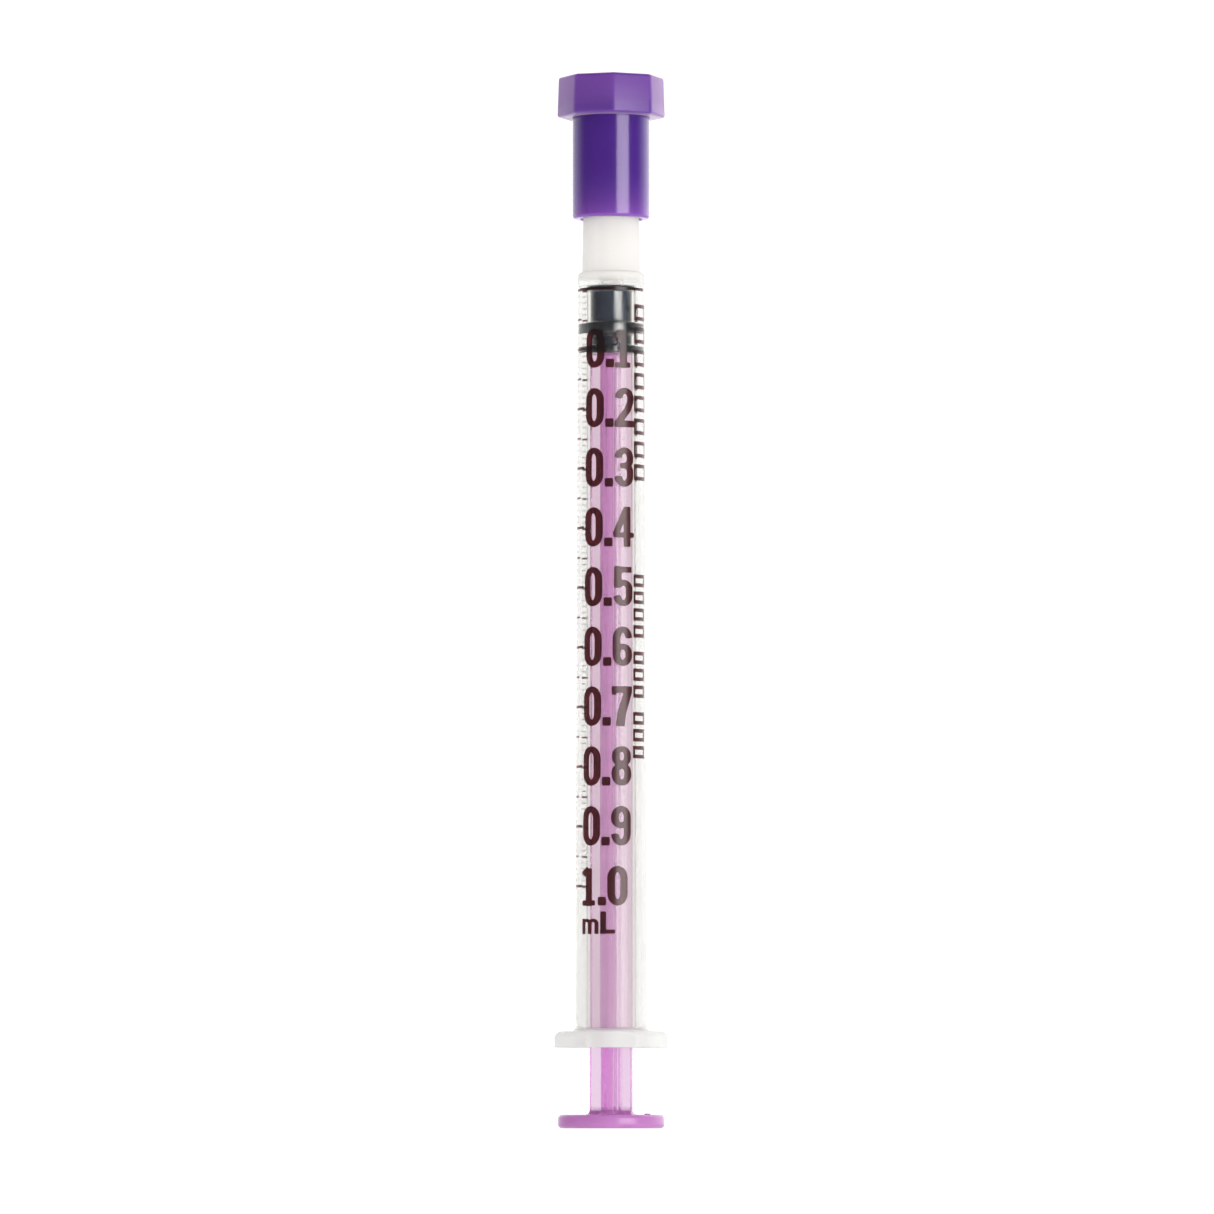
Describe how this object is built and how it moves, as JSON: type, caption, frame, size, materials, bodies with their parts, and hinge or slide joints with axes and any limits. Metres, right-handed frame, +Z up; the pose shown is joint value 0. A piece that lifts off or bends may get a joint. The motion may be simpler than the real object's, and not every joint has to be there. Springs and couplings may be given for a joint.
{
  "type": "oral syringe",
  "caption": "Slim oral dosing syringe: clear graduated barrel with finger flange, pink plunger rod with thumb disc, dark rubber stopper and purple octagonal tip cap.",
  "frame": {"origin": "centre of the thumb disc's underside, on the syringe's axis", "axes": "+Z up along the syringe's axis, from the thumb disc to the cap; the numbered side of the barrel faces -Y"},
  "size_m": [0.0108, 0.0104, 0.1011],
  "materials": {
    "clear_plastic": "clear polypropylene, faintly milky, smooth",
    "pink_plastic": "translucent orchid pink polypropylene, satin",
    "dark_rubber": "dark slate rubber with a silicone-oil sheen",
    "purple_plastic": "deep purple polyethylene, glossy, slightly translucent"
  },
  "bodies": {
    "barrel": {"barrel": "clear_plastic"},
    "stopper": {"stopper": "dark_rubber"},
    "plunger_rod": {"plunger_rod": "pink_plastic"},
    "tip_cap": {"tip_cap": "purple_plastic"}
  },
  "joints": [
    {"name": "plunger_slide", "type": "slide", "parent": "barrel", "child": "stopper", "axis": [0, 0, -1], "range_m": [0, 0.063]},
    {"name": "rod_spin", "type": "hinge", "parent": "stopper", "child": "plunger_rod", "pos_m": [0, 0, 0.0772], "axis": [0, 0, 1], "continuous": true},
    {"name": "cap_pull", "type": "slide", "parent": "barrel", "child": "tip_cap", "axis": [0, 0, 1], "range_m": [0, 0.012]}
  ]
}
